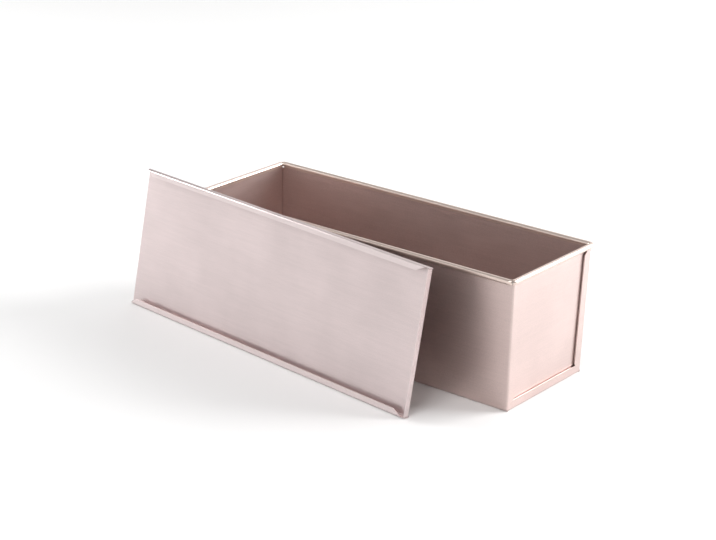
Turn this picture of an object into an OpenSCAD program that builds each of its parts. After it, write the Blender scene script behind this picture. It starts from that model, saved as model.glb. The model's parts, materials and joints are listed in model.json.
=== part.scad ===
// Lidded loaf pan, folded from coated steel sheet.
// The pan stands on z = 0 with the origin at the centre of its underside.
// X runs along the pan, the front wall is at -Y and +Z is up.
// The lid has been drawn off the rim and leans on the front left corner of the rim.

/* [Pan] */
// Length over the rolled rim
rim_l = 332; // [220:1:420]
// Width over the rolled rim
rim_w = 118; // [90:1:160]
// Height from the table to the top of the rim
pan_h = 112; // [70:1:150]
// How far each wall leans outwards between the base and the rim
lean_out = 2.6; // [1:0.1:6]

/* [Sheet and wire] */
// Thickness of the sheet that the pan and the lid are folded from
sheet_t = 0.7; // [0.5:0.05:1]
// Inside radius of the folds
fold_r = 0.7; // [0.4:0.1:1.5]
// Diameter of the wire inside the rolled rim
wire_d = 3; // [2:0.1:4]
// Inside radius of the rim where it turns each corner
rim_corner_r = 1.3; // [0.8:0.1:4]

/* [End seams] */
// Width of the strips that fold round from the long walls
side_strip_w = 9.2; // [7:0.1:14]
// Height of the strip that folds up from the base
foot_strip_w = 7.8; // [6:0.1:12]
// Length of the slanted cut at the top of each side strip
strip_clip = 3.4; // [1:0.1:5]
// How far the hem of the end panel stays hidden behind the strips
hem_inset = 0.6; // [0.2:0.1:2]

/* [Lid] */
// How far the open end of the lid reaches past the closed pan
pull_lip = 4; // [1:0.5:12]
// How far the lips of the guides are cut back at their free edge, open end
lip_cut_open = 10; // [7:0.5:20]
// How far the lips of the guides are cut back at their free edge, stop end
lip_cut_stop = 12; // [7:0.5:20]
// How far the guides are cut back at the fold between wall and lip
wall_cut = 3; // [1:0.5:6]

/* [Lid at rest] */
// Angle between the leaning lid and the vertical
lid_lean = 11.1; // [6:0.1:20]
// Angle between the lid and the length of the pan
lid_yaw = 6.3; // [1:0.1:12]
// Distance from the open end of the lid to the rim corner that it leans on
lean_at = 63; // [20:1:150]

/* [Clearances] */
// Gap between the wire and the sheet rolled round it
wire_gap = 0.05; // [0.02:0.01:0.1]
// Gap inside the flattened hem of an end panel
hem_gap = 0.3; // [0.2:0.05:0.6]
// Gap between an end panel and the sheet folded round it
seam_gap = 0.05; // [0.02:0.01:0.15]
// Gap where two rolled edges meet at a corner of the rim
rim_joint = 0.3; // [0.1:0.05:0.6]
// Gap between the rim and the lid's guide walls, each side
guide_side_play = 0.7; // [0.3:0.05:1.5]
// Gap between the rim and the lips of the guides, up and down
guide_play = 0.4; // [0.2:0.05:1]
// Gap between the lips of the guides and the long walls
lip_play = 0.3; // [0.2:0.05:1]
// Gap between the rim and the lid's stop flange when the pan is closed
stop_play = 0.3; // [0.1:0.05:1]
// Gap between the leaning lid and the rim corner
rest_gap = 0.3; // [0.1:0.05:0.5]

/* [Hidden] */
$fn = 48;

// Length that cutting shapes stand past the part
over = 20;
// Length of sheet that a folded strip shares with its wall
shared = 3;
// Gap between the free edge of the rolled rim and the wall
curl_gap = 0.05;
// How far the cuts at the ends of the lips go past the lips
cut_past = 0.1;
// Width by which the panel and its hems lie in each other
hem_lap = 0.3;
// How far the root of a side strip lies inside the faces of the wall
root_inset = 0.1;
// Step between the outer face of a wall and that of the strip folded from it
fold_step = 0.01;
// How much the sheet thins on each face where a wall or a strip folds up from the base
fold_thin = 0.02;
// Angle by which both ends of that fold lie inside the flat sheet next to them
fold_lap = 6;

// Sizes that several pieces line up on are kept to a thousandth of a millimetre
function fine(size) = round(size * 1000) / 1000;

// Outer radius of a fold
fold_out_r = fold_r + sheet_t;
// Outer radius of the rolled rim
bead_r = fine(wire_d / 2 + wire_gap + sheet_t);
// Radius of the rim's corners at the centre of the wire
turn_r = fine(rim_corner_r + bead_r);
// Half of the distance between the rim's centre lines
half_l = fine(rim_l / 2 - bead_r);
half_w = fine(rim_w / 2 - bead_r);
// Height of the rim's centre line
bead_z = fine(pan_h - bead_r);
// Half length of the straight stretches of the rim
run_l = half_l - turn_r;
run_w = half_w - turn_r;
// Height at which the folds and strips stop below the rim
ear_z = fine(pan_h - 2 * bead_r - rim_joint);

// Angle by which each wall leans outwards
draft = atan(lean_out / bead_z);
// Angle by which the upright edge leans, seen square to an end
edge_lean = atan(sin(draft));

// Offsets from the inner face of an end, along its normal
hem_at = sheet_t + hem_gap;
strip_at = hem_at + sheet_t + seam_gap;
strip_out = strip_at + sheet_t;
// Centre of the fold at the foot of the walls
fold_z = sheet_t + fold_r;
// Where the hem of an end panel turns, from the inner face of the wall
hem_r = sheet_t + hem_gap / 2;
hem_turn = seam_gap + hem_r;
hem_z = sheet_t + seam_gap + hem_r;
// Distance down the slope of an end from the rim's centre line to the turn of its hem
hem_drop = fine((bead_z - hem_z - (hem_r - bead_r) * sin(draft)) / cos(draft));

// Half length or half width of the pan at height z, at an offset from the inner face
function reach(half, z, offset) =
    half + (offset - bead_r + (z - bead_z) * sin(draft)) / cos(draft);

// Angle at which the rolled edge stops short of the wall
curl_stop = 180 + acos((bead_r - sheet_t - curl_gap) / bead_r);

// Cross-section of the rolled edge, its centre at the origin and the pan to the left
module curl_2d() {
    far = 2 * bead_r;
    difference() {
        circle(r = bead_r);
        circle(r = bead_r - sheet_t);
        polygon([[0, 0], [-far, 0], [far * cos(curl_stop), far * sin(curl_stop)]]);
    }
}

// Section of a fold, turning from angle a0 to a1 round the origin
module fold_2d(a0, a1, r_in = fold_r, r_out = fold_out_r) {
    far = 2 * r_out;
    mid = (a0 + a1) / 2;
    intersection() {
        difference() {
            circle(r = r_out);
            circle(r = r_in);
        }
        polygon([[0, 0], [far * cos(a0), far * sin(a0)], [far * cos(mid), far * sin(mid)],
                 [far * cos(a1), far * sin(a1)]]);
    }
}

// Section of the fold between the base and a leaning wall or strip
module foot_fold_2d() {
    fold_2d(-90 - fold_lap, fold_lap - draft, fold_r + fold_thin, fold_out_r - fold_thin);
}

// A wall that leans outwards from the fold at its foot up to its rolled edge
module wall_2d(half, foot_x, foot_z) {
    length = (half - foot_x) * sin(draft) + (bead_z - foot_z) * cos(draft);
    translate([half, bead_z]) rotate(-draft) {
        curl_2d();
        translate([-bead_r, -length]) square([sheet_t, length]);
    }
}

// Places a section so that its Y axis is the pan's up direction and it is drawn out along X
module along_x(length) {
    rotate([90, 0, 90]) linear_extrude(height = length, center = true) children();
}

// The same, drawn out along Y
module along_y(length) {
    rotate([90, 0, 0]) linear_extrude(height = length, center = true) children();
}

// Frame of the right end: X is its outward normal, counted from its inner face, and Z runs
// up its slope from the height of the rim's centre line
module at_end() {
    translate([half_l, 0, bead_z]) rotate([0, draft, 0]) translate([-bead_r, 0, 0]) children();
}

// Frame of the upright edge at the front right corner, on the inner faces: X is the end's
// outward normal, Y runs inwards along the end and Z runs up the edge
module at_edge() {
    at_end() translate([0, bead_r * cos(draft) - half_w, 0]) rotate([edge_lean, 0, 0]) children();
}

// Everything that lies past an offset from the inner face of the right end
module past_end(offset) {
    at_end() translate([offset, -rim_w, -pan_h - over]) cube([2 * over, 2 * rim_w, pan_h + 2 * over]);
}

// Outline in Y and Z, drawn out along X through the right end
module through_end() {
    translate([run_l - over, 0, 0]) rotate([90, 0, 90]) linear_extrude(height = 2 * over) children();
}

// Region of an end that a folded strip of the front wall covers, cut at 45 degrees at its foot
module side_strip_outline(corner_y, foot, width, clip) {
    edge_y = -reach(half_w, ear_z, sheet_t) + width;
    reach_in = 2 * width;
    polygon([[corner_y - over, foot], [corner_y, foot], [corner_y + reach_in, foot + reach_in],
             [corner_y + reach_in, ear_z - reach_in], [edge_y, ear_z - clip], [edge_y - clip, ear_z],
             [corner_y - over, ear_z]]);
}

// Region of an end that the strip from the base covers, between the two 45 degree cuts
module foot_strip_outline(corner_y, foot, width) {
    reach_in = 2 * width;
    polygon([[-corner_y, foot], [-corner_y - reach_in, foot + reach_in],
             [corner_y + reach_in, foot + reach_in], [corner_y, foot],
             [corner_y, foot - over], [-corner_y, foot - over]]);
}

// Both ends, or both sides, from the one at the right or at the front
module both_ends() {
    children();
    mirror([1, 0, 0]) children();
}
module both_sides() {
    children();
    mirror([0, 1, 0]) children();
}

// Y of the fold at the foot of the front wall, in the plane of the end
foot_corner_y = -reach(half_w, fold_z, -fold_r);

// The front wall's strip and its fold, with a root that lies inside the wall
module side_strip() {
    fold_x = strip_at - fold_r;
    fold_y = (fold_r + fold_x * pow(sin(draft), 2)) * cos(edge_lean) / cos(draft) + fold_step;
    intersection() {
        at_edge() translate([0, 0, -pan_h - over]) linear_extrude(height = pan_h + over)
            translate([fold_x, fold_y]) {
                fold_2d(-90, 0);
                translate([fold_r, 0]) square([sheet_t, side_strip_w - sheet_t - fold_y]);
                translate([-shared, root_inset - fold_out_r])
                    square([shared + root_inset, sheet_t - 2 * root_inset]);
            }
        through_end()
            side_strip_outline(foot_corner_y, fold_z + seam_gap, side_strip_w, strip_clip);
    }
}

// The strip that folds up from the base, with the stretch of base that it shares
module foot_strip() {
    fold_x = reach(half_l, fold_z, strip_at - fold_r);
    intersection() {
        along_y(-2 * foot_corner_y) translate([fold_x, fold_z]) {
            foot_fold_2d();
            translate([-shared, -fold_out_r]) square([shared, sheet_t]);
            rotate(-draft) translate([fold_r, 0]) square([sheet_t, foot_strip_w - fold_z]);
        }
        through_end() foot_strip_outline(foot_corner_y + seam_gap, fold_z, foot_strip_w);
    }
}

// Rolled edge turning half of the front right corner, from the front towards the end
module front_turn() {
    gap_angle = asin(rim_joint / 2 / turn_r);
    translate([run_l, -run_w, bead_z]) rotate([0, 0, -90])
        rotate_extrude(angle = 45 - gap_angle) translate([turn_r, 0]) rotate(-draft) curl_2d();
}

// Base, folds and both long walls with their rolled edges
module long_section_2d() {
    translate([foot_corner_y, 0]) square([-2 * foot_corner_y, sheet_t]);
    for (side = [0, 1])
        mirror([side, 0]) {
            wall_2d(half_w, -foot_corner_y, fold_z);
            translate([-foot_corner_y, fold_z]) foot_fold_2d();
        }
}

// What is cut from the long section at the right end: past the strips everything, and past
// the start of their folds all but the two folds at the foot of the walls
module end_cuts() {
    past_end(strip_out);
    difference() {
        past_end(strip_at - fold_r);
        both_sides() translate([run_l - over, -rim_w, -over])
            cube([3 * over, rim_w + foot_corner_y, over + fold_z]);
    }
    translate([run_l, -rim_w, ear_z]) cube([2 * over, 2 * rim_w, over]);
}

// Base and both long walls in one sheet, with rolled edges and the strips at both ends
module body_sheet() {
    color([0.84, 0.76, 0.73]) {
        difference() {
            along_x(rim_l + over) long_section_2d();
            both_ends() end_cuts();
        }
        both_ends() both_sides() {
            side_strip();
            front_turn();
        }
        both_ends() foot_strip();
    }
}

// Section of a hem from the centre of its turn: the stretch of panel, the turn and the flap
module hem_2d(flap) {
    fold_2d(180, 360, hem_gap / 2, hem_r);
    translate([-hem_r, 0]) square([sheet_t, shared]);
    translate([hem_gap / 2, 0]) square([sheet_t, flap]);
}

// Hem along the front edge of the right end panel, flattened behind the side strip
module side_hem() {
    intersection() {
        at_edge() translate([0, 0, -pan_h - over]) linear_extrude(height = pan_h + over)
            translate([hem_r, hem_turn]) hem_2d(side_strip_w - sheet_t - hem_inset - hem_turn);
        through_end() side_strip_outline(-reach(half_w, hem_z, -hem_turn), hem_z,
                                         side_strip_w - hem_inset, strip_clip);
    }
}

// Hem along the foot of the right end panel, flattened behind the strip from the base
module foot_hem() {
    hem_y = -reach(half_w, hem_z, -hem_turn);
    intersection() {
        along_y(-2 * hem_y) translate([half_l, bead_z]) rotate(-draft)
            translate([hem_r - bead_r, -hem_drop]) hem_2d(foot_strip_w - hem_inset - hem_z);
        through_end() foot_strip_outline(hem_y, hem_z, foot_strip_w);
    }
}

// What is cut from the plate in front of the side hem, and from its rolled edge past the
// straight stretch of the rim
module plate_cut_outline() {
    low_y = -reach(half_w, -over, -hem_turn - hem_lap);
    ear_y = -reach(half_w, ear_z, -hem_turn - hem_lap);
    polygon([[-rim_w, -over], [low_y, -over], [ear_y, ear_z], [-run_w, ear_z],
             [-run_w, pan_h + over], [-rim_w, pan_h + over]]);
}

// End panel: a plate with its rolled top edge and the hems that lie behind the strips
module right_end_panel() {
    plate_h = hem_drop - hem_lap;
    color([0.95, 0.88, 0.85]) {
        difference() {
            along_y(rim_w) translate([half_l, bead_z]) rotate(-draft) {
                curl_2d();
                translate([-bead_r, -plate_h]) square([sheet_t, plate_h]);
            }
            both_sides() through_end() plate_cut_outline();
        }
        foot_hem();
        both_sides() {
            side_hem();
            end_turn();
        }
    }
}

// Rolled edge turning the other half of the front right corner, from the end to the front
module end_turn() {
    gap_angle = asin(rim_joint / 2 / turn_r);
    translate([run_l, -run_w, bead_z]) mirror([0, 1, 0])
        rotate_extrude(angle = 45 - gap_angle) translate([turn_r, 0]) rotate(-draft) curl_2d();
}

module left_end_panel() {
    mirror([1, 0, 0]) right_end_panel();
}

// One loop of wire that the rim is rolled round
module rim_wire() {
    color([0.6, 0.6, 0.6]) translate([0, 0, bead_z]) {
        for (side = [-1, 1]) {
            translate([-run_l, side * half_w, 0]) rotate([0, 90, 0])
                cylinder(d = wire_d, h = 2 * run_l);
            translate([side * half_l, -run_w, 0]) rotate([-90, 0, 0])
                cylinder(d = wire_d, h = 2 * run_w);
        }
        for (turn = [0 : 3]) {
            along = turn == 0 || turn == 3 ? run_l : -run_l;
            across = turn < 2 ? run_w : -run_w;
            translate([along, across, 0]) rotate([0, 0, 90 * turn])
                rotate_extrude(angle = 90) translate([turn_r, 0]) circle(d = wire_d);
        }
    }
}

// Lid sizes follow from the rim that the guides run on
lid_w = rim_w + 2 * (guide_side_play + sheet_t);
lid_l = rim_l + stop_play + sheet_t + pull_lip;
guide_h = 2 * bead_r + guide_play + 2 * sheet_t;
lip_w = guide_side_play + 2 * bead_r - lip_play;

// Section of one guide: fold, wall, fold and lip, in the lid's width (X) and depth (Y)
module guide_2d() {
    translate([fold_out_r, fold_out_r]) fold_2d(180, 270);
    translate([0, fold_out_r]) square([sheet_t, guide_h - 2 * fold_out_r]);
    translate([fold_out_r, guide_h - fold_out_r]) fold_2d(90, 180);
    translate([fold_out_r, guide_h - sheet_t]) square([lip_w - fold_out_r, sheet_t]);
}

// Both guides and, between them, the plate
module lid_section(plate) {
    guide_2d();
    translate([lid_w, 0]) mirror([1, 0]) guide_2d();
    if (plate) translate([fold_out_r, 0]) square([lid_w - 2 * fold_out_r, sheet_t]);
}

// Slanted cut across both guide walls at the open end
module wall_cuts() {
    rotate([90, 0, 0]) translate([0, 0, -lid_w - over]) linear_extrude(height = lid_w + 2 * over)
        polygon([[-over, 0], [0, fold_out_r], [wall_cut, guide_h - sheet_t],
                 [wall_cut, guide_h + over], [-over, guide_h + over]]);
}

// Slanted cut across the lips of both guides, which leaves them cut_back shorter at their free edge
module lip_cuts(cut_back) {
    translate([0, 0, guide_h - sheet_t - fold_r]) linear_extrude(height = over)
        polygon([[-over, 0], [wall_cut, 0], [cut_back, lip_w + cut_past],
                 [cut_back, lid_w - lip_w - cut_past], [wall_cut, lid_w], [-over, lid_w]]);
}

// The lid as folded: X along its length, Y across its width and Z from the plate to the lips
module lid_flat() {
    difference() {
        union() {
            rotate([90, 0, 90]) linear_extrude(height = lid_l - fold_out_r) lid_section(true);
            rotate([90, 0, 90]) translate([0, 0, lid_l - fold_out_r])
                linear_extrude(height = fold_out_r) lid_section(false);
        }
        wall_cuts();
        lip_cuts(lip_cut_open);
        translate([lid_l, 0, 0]) mirror([1, 0, 0]) lip_cuts(lip_cut_stop);
    }
    stop_flange();
}

// Flange across the far end that stops the lid against the rim
module stop_flange() {
    inset = fold_out_r;
    translate([0, lid_w - inset, 0]) rotate([90, 0, 0])
        linear_extrude(height = lid_w - 2 * inset) {
            translate([lid_l - fold_out_r, fold_out_r]) fold_2d(270, 360);
            translate([lid_l - fold_out_r - shared, 0]) square([shared, sheet_t]);
            translate([lid_l - sheet_t, fold_out_r])
                square([sheet_t, guide_h - fold_out_r - sheet_t]);
        }
}

// Place of the lid: its lower fold on the table, and its back against the rim corner or, where
// it is too narrow to reach the rim, against the folded corner below it
lid_out = [-sin(lid_yaw), -cos(lid_yaw), 0];
lid_along = [cos(lid_yaw), -sin(lid_yaw), 0];
lid_normal = lid_out * cos(lid_lean) + [0, 0, sin(lid_lean)];
lid_top = lid_w * cos(lid_lean);
rim_point = [-run_l, -run_w, bead_z] + lid_out * turn_r + lid_normal * bead_r;
edge_point = [-reach(half_l, lid_top, strip_at - fold_r), -reach(half_w, lid_top, -fold_r), lid_top]
    + lid_out * fold_out_r;
rest_point = lid_top > bead_z - bead_r ? rim_point : edge_point;
lid_drop = fold_out_r * (cos(lid_lean) + sin(lid_lean) - 1);
lid_off = (rest_point * lid_normal + rest_gap + sin(lid_lean) * lid_drop) / cos(lid_lean);
lid_at = lid_along * (rest_point * lid_along - lean_at) + lid_out * lid_off - [0, 0, lid_drop];

module lid() {
    color([0.82, 0.77, 0.76])
        translate(lid_at) rotate([0, 0, -lid_yaw]) rotate([90 - lid_lean, 0, 0]) lid_flat();
}

body_sheet();
left_end_panel();
right_end_panel();
rim_wire();
lid();
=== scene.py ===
import json
import math

import bpy
import numpy as np
from mathutils import Euler, Matrix, Vector


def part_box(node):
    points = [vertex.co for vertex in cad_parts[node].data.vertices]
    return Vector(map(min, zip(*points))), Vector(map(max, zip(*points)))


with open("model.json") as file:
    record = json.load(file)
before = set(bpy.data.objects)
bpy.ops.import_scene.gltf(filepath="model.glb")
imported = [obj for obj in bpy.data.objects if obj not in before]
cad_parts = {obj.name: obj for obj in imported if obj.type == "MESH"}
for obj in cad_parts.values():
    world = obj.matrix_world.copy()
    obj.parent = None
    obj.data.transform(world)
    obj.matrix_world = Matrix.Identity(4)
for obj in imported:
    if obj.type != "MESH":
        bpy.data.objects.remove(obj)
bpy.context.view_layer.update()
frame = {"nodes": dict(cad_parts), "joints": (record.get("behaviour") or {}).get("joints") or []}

mm = 0.001
nodes = frame["nodes"]
print("frame loaded:", ", ".join(sorted(nodes)))


class Wire:  # a socket that can stand in a sum, and that adds any other node to its tree
    def __init__(self, tree, socket=None):
        self.tree = tree
        self.socket = socket

    def add(self, kind, settings, values, out=0):  # settings first, then a value or a wire for each socket
        node = self.tree.nodes.new(kind)
        for name, value in settings.items():
            setattr(node, name, value)
        for name, value in values.items():
            if isinstance(value, Wire):
                self.tree.links.new(value.socket, node.inputs[name])
            else:
                node.inputs[name].default_value = value
        return Wire(self.tree, node.outputs[out] if len(node.outputs) else None)

    def sum(self, operation, first, second):
        return self.add("ShaderNodeMath", {"operation": operation}, {0: first, 1: second})

    def __add__(self, other):
        return self.sum("ADD", self, other)

    def __radd__(self, other):
        return self.sum("ADD", other, self)

    def __sub__(self, other):
        return self.sum("SUBTRACT", self, other)

    def __rsub__(self, other):
        return self.sum("SUBTRACT", other, self)

    def __mul__(self, other):
        return self.sum("MULTIPLY", self, other)

    def __rmul__(self, other):
        return self.sum("MULTIPLY", other, self)

    def between(self, low, high):  # 0 below low, 1 above high, and smooth from one to the other
        return self.add("ShaderNodeMapRange", {"interpolation_type": "SMOOTHSTEP"},
                        {"Value": self, "From Min": low, "From Max": high})

    def tint(self, dark, light):  # a colour that runs from dark at 0 to light at 1
        return self.add("ShaderNodeMix", {"data_type": "RGBA"}, {0: self, 6: dark, 7: light}, 2)

    def noise(self, scale, detail=2.0, contrast=0.18):  # cells of about 1 / scale metres, spread to 0..1
        grain = self.add("ShaderNodeTexNoise", {}, {"Vector": self, "Scale": scale, "Detail": detail})
        return grain.between(0.5 - contrast, 0.5 + contrast)

    def stretched(self, scales):  # the same place with each axis multiplied by its own number
        return self.add("ShaderNodeMapping", {}, {"Vector": self, "Scale": scales})

    def bump(self, distance, strength, under=None):  # self is the height, under is a bump to add it to
        values = {"Height": self, "Distance": distance, "Strength": strength}
        if under:
            values["Normal"] = under
        return self.add("ShaderNodeBump", {}, values)


def emptyMaterial(name):
    material = bpy.data.materials.new(name)
    material.use_nodes = True
    material.node_tree.nodes.clear()
    return material, Wire(material.node_tree)


def objectPlace(start):
    return start.add("ShaderNodeTexCoord", {}, {}, "Object")


def finishMaterial(start, values):
    surface = start.add("ShaderNodeBsdfPrincipled", {}, values)
    start.add("ShaderNodeOutputMaterial", {}, {"Surface": surface})


def wear(node, material):  # the mesh stays as it is and only the material changes
    nodes[node].data.materials.clear()
    nodes[node].data.materials.append(material)


def satinCoat(start, place, height, look):
    # Satin coating on rolled sheet: a tone that drifts over some centimetres, fine pigment flakes
    # and faint rolling lines. The sheet's own slight waves bend the reflections.
    lines = place.stretched(look["lines"]).noise(1.0, 3.0)
    flakes = place.noise(look["flakes"], 1.0)
    drift = place.noise(look["drift"], 3.0, 0.22)
    # painted highlight: a lighter, warmer band along the top, which is also a little less rough
    rim = height.between(look["rimFrom"], look["rimFrom"] + look["rimBlend"])
    # painted shade: darker towards the foot
    foot = 1.0 - height.between(look["footFrom"], look["footTo"])
    tone = (drift * look["driftShare"] + lines * look["lineShare"] + flakes * look["flakeShare"]
            - foot * look["footPaintedShade"])
    waves = place.noise(look["waves"], 1.0, 0.3).bump(look["waveHeight"], look["waveStrength"])
    relief = lines * look["lineRelief"] + flakes * look["flakeRelief"]
    rough = (look["roughness"] + (lines - 0.5) * look["lineGloss"]
             + (flakes - 0.5) * look["flakeGloss"] - rim * look["rimGloss"])
    coat = tone.tint(look["dark"], look["light"])
    finishMaterial(start, {
        "Base Color": (rim * look["rimHighlightShare"]).tint(coat, look["rimHighlightColour"]),
        "Metallic": look["metallic"],
        "Roughness": rough,
        "Normal": relief.bump(look["skinHeight"], look["skinStrength"], waves),
        "Specular IOR Level": look["specular"],
    })


# The pan: one coat on all of it, its grain along the rolling direction of each sheet
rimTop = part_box("body_sheet")[1][2]
panCoat = {
    "dark": (0.58, 0.47, 0.445, 1.0),
    "light": (0.76, 0.615, 0.585, 1.0),
    "rimHighlightColour": (0.84, 0.71, 0.62, 1.0),
    "rimHighlightShare": 0.6,
    "driftShare": 0.3,
    "lineShare": 0.15,
    "flakeShare": 0.3,
    "metallic": 0.95,
    "roughness": 0.38,
    "specular": 0.5,
    "lineGloss": 0.04,
    "flakeGloss": 0.04,
    "drift": 16.0,  # cells a metre
    "flakes": 1500.0,
    "waves": 11.0,
    "waveHeight": 0.3 * mm,
    "waveStrength": 0.3,
    "lineRelief": 0.45,
    "flakeRelief": 0.55,
    "skinHeight": 0.02 * mm,
    "skinStrength": 0.2,
    "rimFrom": rimTop - 4.6 * mm,  # painted highlight: the rim band is lighter and warmer in colour, and a little glossier
    "rimBlend": 0.8 * mm,
    "rimGloss": 0.04,
    "footFrom": 0.4 * mm,  # painted shade: the foot is a little darker close to the floor
    "footTo": 3.5 * mm,
    "footPaintedShade": 0.12,
}
grainAlongPan = (30.0, 700.0, 700.0)
grainAcrossPan = (700.0, 30.0, 700.0)


def coatPan(name, grain, pieces):
    material, start = emptyMaterial(name)
    place = objectPlace(start)
    height = start.add("ShaderNodeSeparateXYZ", {}, {"Vector": place}, "Z")
    satinCoat(start, place, height, dict(panCoat, lines=grain))
    for piece in pieces:
        wear(piece, material)


coatPan("coatedSheet", grainAlongPan, ["body_sheet"])
coatPan("coatedEnd", grainAcrossPan, ["left_end_panel", "right_end_panel"])
print("pan coated: body_sheet, left_end_panel, right_end_panel")

# The lid: the same coat, its tones painted lighter and cooler than the pan's for the light that falls on
# it, with its pattern laid in the lid's own frame, where X runs along its length, Y across its width and Z
# from the plate to the lips of the guides
lidCoatPaintedLighter = dict(
    panCoat,
    lines=grainAlongPan,
    dark=(0.60, 0.515, 0.51, 1.0),
    light=(0.79, 0.675, 0.67, 1.0),
    rimHighlightColour=(0.84, 0.74, 0.73, 1.0),
    rimFrom=5.2 * mm,  # the same painted highlight along the upper guide walls and their lips
    rimBlend=0.8 * mm,
    footFrom=-2.0 * mm,  # and the lid gets none of this painted shade
    footTo=-1.0 * mm,
    footPaintedShade=0.0,
)
lidLean = math.radians(11.1)  # between the leaning lid and the vertical
slideAxis = Vector(next(j["axis"] for j in frame["joints"] if j["name"] == "lid_slide"))
lidYaw = math.atan2(slideAxis.y, -slideAxis.x)


def coatLid():
    turned = Euler((math.pi / 2 - lidLean, 0.0, -lidYaw), "XYZ")
    mesh = nodes["lid"].data
    points = np.empty(len(mesh.vertices) * 3)
    mesh.vertices.foreach_get("co", points)
    inLid = points.reshape(-1, 3) @ np.array(turned.to_matrix())
    corner = turned.to_matrix() @ Vector(inLid.min(axis=0))
    material, start = emptyMaterial("coatedLidPaintedLighter")
    place = start.add("ShaderNodeMapping", {"vector_type": "TEXTURE"},
                      {"Vector": objectPlace(start), "Location": corner, "Rotation": turned})
    height = start.add("ShaderNodeSeparateXYZ", {}, {"Vector": place}, "Z")
    satinCoat(start, place, height, lidCoatPaintedLighter)
    wear("lid", material)


coatLid()
print("lid coated, turned", round(math.degrees(lidYaw), 2), "degrees from the pan")

# The wire inside the rim: drawn steel, brushed along its length
wire = {
    "dark": (0.34, 0.34, 0.35, 1.0),
    "light": (0.56, 0.56, 0.57, 1.0),
    "grain": 900.0,  # cells a metre
    "roughness": 0.38,
    "glossSpread": 0.1,
    "skinHeight": 0.02 * mm,
    "skinStrength": 0.3,
}


def drawWire():
    material, start = emptyMaterial("rimWire")
    grain = objectPlace(start).noise(wire["grain"], 2.0)
    finishMaterial(start, {
        "Base Color": grain.tint(wire["dark"], wire["light"]),
        "Metallic": 1.0,
        "Roughness": wire["roughness"] + (grain - 0.5) * wire["glossSpread"],
        "Normal": grain.bump(wire["skinHeight"], wire["skinStrength"]),
    })
    wear("rim_wire", material)


drawWire()
print("rim wire finished")

# The floor and the world: pale and plain
floorLook = {
    "half": 6.0,
    "under": 0.05 * mm,
    "colour": (0.93, 0.93, 0.93, 1.0),
    "roughness": 0.6,
    "world": (1.0, 0.99, 0.98, 1.0),
    "worldStrength": 0.3,
}


def layFloor():
    half, z = floorLook["half"], -floorLook["under"]
    mesh = bpy.data.meshes.new("floor")
    mesh.from_pydata([(-half, -half, z), (half, -half, z), (half, half, z), (-half, half, z)], [],
                     [(0, 1, 2, 3)])
    floor = bpy.data.objects.new("floor", mesh)
    bpy.context.scene.collection.objects.link(floor)
    material, start = emptyMaterial("paleFloor")
    finishMaterial(start, {"Base Color": floorLook["colour"], "Roughness": floorLook["roughness"]})
    mesh.materials.append(material)


def lightWorld():
    world = bpy.data.worlds.new("studio")
    world.use_nodes = True
    world.node_tree.nodes.clear()
    start = Wire(world.node_tree)
    sky = start.add("ShaderNodeBackground", {},
                    {"Color": floorLook["world"], "Strength": floorLook["worldStrength"]})
    start.add("ShaderNodeOutputWorld", {}, {"Surface": sky})
    bpy.context.scene.world = world


layFloor()
lightWorld()
print("floor and world laid")

# Softboxes, each named for the place where it stands, seen from the pan's middle
softBoxes = {
    "behindEnd": {"azimuth": 135.0, "elevation": 25.0, "distance": 2.0, "size": 1.2, "power": 50.0},
    "left": {"azimuth": -75.0, "elevation": 20.0, "distance": 2.0, "size": 1.0, "power": 23.0},
    "frontLow": {"azimuth": -20.0, "elevation": 15.0, "distance": 2.0, "size": 1.0, "power": 3.0},
    "frontHigh": {"azimuth": 10.0, "elevation": 45.0, "distance": 2.0, "size": 1.0, "power": 14.0},
    "behind": {"azimuth": 200.0, "elevation": 35.0, "distance": 2.4, "size": 2.2, "power": 13.0},
}
aimPoint = Vector((0.0, 0.0, 40 * mm))


def awayTo(azimuth, elevation):  # direction from the pan's middle; azimuth 0 is the front, 90 the right end
    az, el = math.radians(azimuth), math.radians(elevation)
    return Vector((math.sin(az) * math.cos(el), -math.cos(az) * math.cos(el), math.sin(el)))


def hangSoftBox(name, box):
    lamp = bpy.data.lights.new(name, "AREA")
    lamp.shape = "SQUARE"
    lamp.size = box["size"]
    lamp.energy = box["power"]
    holder = bpy.data.objects.new(name, lamp)
    away = awayTo(box["azimuth"], box["elevation"])
    holder.location = aimPoint + away * box["distance"]
    holder.rotation_euler = away.to_track_quat("Z", "Y").to_euler()
    bpy.context.scene.collection.objects.link(holder)


for boxName, box in softBoxes.items():
    hangSoftBox(boxName, box)
print("lights hung:", ", ".join(softBoxes))

# The camera, at the photograph's viewing angle: its frame is 716 x 540
camera = {
    "azimuth": 38.667,
    "elevation": 21.039,
    "roll": 0.829,
    "distance": 1655.9 * mm,
    "target": (-44.03 * mm, 0.0, 38.9 * mm),
    "lens": 97.31,  # in millimetres, on a sensor this wide
    "sensor": 36.0,
    "clip": (50 * mm, 50.0),
    "shift": (0.01744, 0.02168),
}


def placeCamera():
    data = bpy.data.cameras.new("camera")
    data.sensor_width = camera["sensor"]
    data.lens = camera["lens"]
    data.shift_x, data.shift_y = camera["shift"]
    data.clip_start, data.clip_end = camera["clip"]
    away = awayTo(camera["azimuth"], camera["elevation"])
    right = Vector((0.0, 0.0, 1.0)).cross(away).normalized()
    up = away.cross(right)
    roll = math.radians(camera["roll"])
    rolledRight = right * math.cos(roll) + up * math.sin(roll)
    rolledUp = up * math.cos(roll) - right * math.sin(roll)
    holder = bpy.data.objects.new("camera", data)
    turn = Matrix((rolledRight, rolledUp, away)).transposed().to_4x4()
    holder.matrix_world = Matrix.Translation(Vector(camera["target"]) + away * camera["distance"]) @ turn
    bpy.context.scene.collection.objects.link(holder)
    bpy.context.scene.camera = holder


placeCamera()
view = bpy.context.scene.view_settings
view.view_transform = "Standard"
view.look = "None"
print("camera placed")
